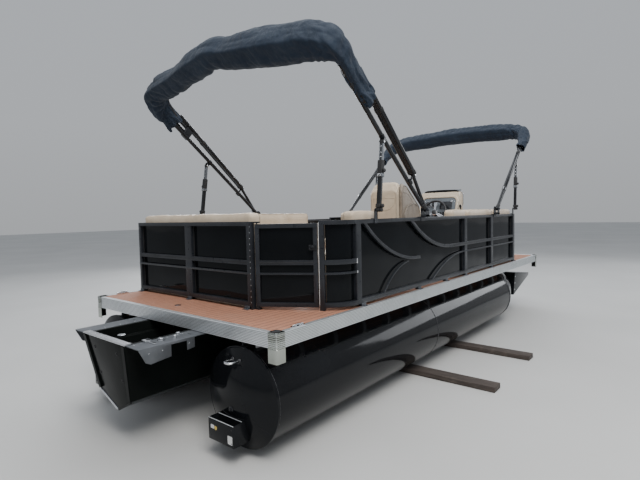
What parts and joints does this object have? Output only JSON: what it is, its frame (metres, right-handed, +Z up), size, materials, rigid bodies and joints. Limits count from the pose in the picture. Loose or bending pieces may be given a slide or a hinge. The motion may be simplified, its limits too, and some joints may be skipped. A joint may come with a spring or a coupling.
{
  "type": "pontoon boat",
  "caption": "Twin-tube pontoon boat with a railed deck, diagonal boarding gate, lounge seats, helm, motor pod and folded bimini tops, standing on flat bearers.",
  "frame": {"origin": "middle of the footprint, on the ground under the bearers", "axes": "+X starboard, +Y towards the bow, +Z up"},
  "size_m": [3.76, 6.713, 3.1705],
  "materials": {
    "bearer": "dark weathered plank",
    "tube_gloss": "gloss black paint",
    "stainless": "polished",
    "mill_aluminium": "mill finish",
    "trim_aluminium": "satin anodised",
    "deck_teak": "woven teak-look flooring",
    "rail_black": "anthracite anodised",
    "panel_gloss": "gloss black sheet",
    "base_plastic": "moulded beige",
    "vinyl_beige": "marine vinyl",
    "vinyl_greige": "marine vinyl",
    "console_shell": "moulded shell",
    "clear_acrylic": "clear",
    "wheel_black": "soft black",
    "canvas": "charcoal canvas"
  },
  "bodies": {
    "hull": {"bearers": "bearer", "pontoon_port": "tube_gloss", "pontoon_starboard": "tube_gloss", "nose_caps": "tube_gloss", "tail_boxes": "tube_gloss", "tow_eyes": "stainless", "riser_rails": "mill_aluminium", "cross_members": "mill_aluminium", "deck_panel": "deck_teak", "edge_trim": "trim_aluminium", "corner_caps": "stainless", "motor_pod": "tube_gloss", "transom_plate": "mill_aluminium", "pod_flanges": "tube_gloss", "deck_cleats": "stainless", "fence_aft": "rail_black", "fence_starboard": "rail_black", "fence_corner": "rail_black", "fence_port": "rail_black", "fence_bow": "rail_black", "panels_aft": "panel_gloss", "panels_starboard": "panel_gloss", "panels_corner": "panel_gloss", "panels_port": "panel_gloss", "panels_bow": "panel_gloss", "seat_bases": "base_plastic", "back_risers": "base_plastic", "seat_backs": "vinyl_beige", "helm_console": "console_shell", "windscreen": "clear_acrylic", "steering_column": "rail_black", "chair_pedestal": "mill_aluminium", "bimini_feet": "rail_black"},
    "gate_aft": {"gate_aft_frame": "rail_black", "gate_aft_panel": "panel_gloss"},
    "gate_bow": {"gate_bow_frame": "rail_black", "gate_bow_panel": "panel_gloss"},
    "gate_port": {"gate_port_frame": "rail_black", "gate_port_panel": "panel_gloss"},
    "seat_lid_aft": {"seat_aft": "vinyl_beige"},
    "seat_lid_port": {"seat_port": "vinyl_beige"},
    "seat_lid_starboard": {"seat_starboard": "vinyl_beige"},
    "lounge_lid_port": {"lounge_port": "vinyl_beige"},
    "lounge_lid_starboard": {"lounge_starboard": "vinyl_beige"},
    "helm_chair": {"chair_frame": "rail_black", "chair_seat": "vinyl_beige", "chair_back": "vinyl_beige", "chair_wings": "vinyl_greige"},
    "steering_wheel": {"steering_wheel": "wheel_black"},
    "bimini_aft": {"bimini_aft_bows": "rail_black", "bimini_aft_boot": "canvas"},
    "bimini_fore": {"bimini_fore_bows": "rail_black", "bimini_fore_boot": "canvas"},
    "strut_aft_port": {"strut_aft_port": "rail_black"},
    "strut_aft_starboard": {"strut_aft_starboard": "rail_black"},
    "strut_fore_port": {"strut_fore_port": "rail_black"},
    "strut_fore_starboard": {"strut_fore_starboard": "rail_black"}
  },
  "joints": [
    {"name": "gate_aft_hinge", "type": "hinge", "parent": "hull", "child": "gate_aft", "pos_m": [0.55439, -2.38522, 1.3], "axis": [0, 0, 1], "range_deg": [0, 60]},
    {"name": "gate_bow_hinge", "type": "hinge", "parent": "hull", "child": "gate_bow", "pos_m": [-0.313, 2.188, 1.3], "axis": [0, 0, -1], "range_deg": [0, 90]},
    {"name": "gate_port_hinge", "type": "hinge", "parent": "hull", "child": "gate_port", "pos_m": [-1.15, 0.122, 1.3], "axis": [0, 0, -1], "range_deg": [0, 85]},
    {"name": "seat_aft_lid", "type": "hinge", "parent": "hull", "child": "seat_lid_aft", "pos_m": [-0.266, -2.27, 1.304], "axis": [1, 0, 0], "range_deg": [0, 75]},
    {"name": "seat_port_lid", "type": "hinge", "parent": "hull", "child": "seat_lid_port", "pos_m": [-1.013, -0.88, 1.304], "axis": [0, -1, 0], "range_deg": [0, 75]},
    {"name": "seat_starboard_lid", "type": "hinge", "parent": "hull", "child": "seat_lid_starboard", "pos_m": [1.013, -1.385, 1.304], "axis": [0, 1, 0], "range_deg": [0, 75]},
    {"name": "lounge_port_lid", "type": "hinge", "parent": "hull", "child": "lounge_lid_port", "pos_m": [-1.013, 1.55, 1.304], "axis": [0, -1, 0], "range_deg": [0, 75]},
    {"name": "lounge_starboard_lid", "type": "hinge", "parent": "hull", "child": "lounge_lid_starboard", "pos_m": [1.013, 1.62, 1.304], "axis": [0, 1, 0], "range_deg": [0, 75]},
    {"name": "chair_swivel", "type": "hinge", "parent": "hull", "child": "helm_chair", "pos_m": [0.655, -0.38, 1.175], "axis": [0, 0, 1], "continuous": true},
    {"name": "steering", "type": "hinge", "parent": "hull", "child": "steering_wheel", "pos_m": [0.7, 0.497, 1.638], "axis": [0, -0.9063, 0.4226], "range_deg": [-540, 540]},
    {"name": "bimini_aft_fold", "type": "hinge", "parent": "hull", "child": "bimini_aft", "pos_m": [0, -0.76, 1.665], "axis": [-1, 0, 0], "range_deg": [0, 60]},
    {"name": "bimini_fore_fold", "type": "hinge", "parent": "hull", "child": "bimini_fore", "pos_m": [0, 1.331, 1.665], "axis": [1, 0, 0], "range_deg": [0, 60]},
    {"name": "strut_aft_port_fold", "type": "hinge", "parent": "hull", "child": "strut_aft_port", "pos_m": [-1.206, -1.615, 1.665], "axis": [1, 0, 0], "range_deg": [0, 70]},
    {"name": "strut_aft_starboard_fold", "type": "hinge", "parent": "hull", "child": "strut_aft_starboard", "pos_m": [1.206, -1.615, 1.665], "axis": [1, 0, 0], "range_deg": [0, 70]},
    {"name": "strut_fore_port_fold", "type": "hinge", "parent": "hull", "child": "strut_fore_port", "pos_m": [-1.206, 2.12, 1.665], "axis": [-1, 0, 0], "range_deg": [0, 70]},
    {"name": "strut_fore_starboard_fold", "type": "hinge", "parent": "hull", "child": "strut_fore_starboard", "pos_m": [1.206, 2.12, 1.665], "axis": [-1, 0, 0], "range_deg": [0, 70]}
  ]
}
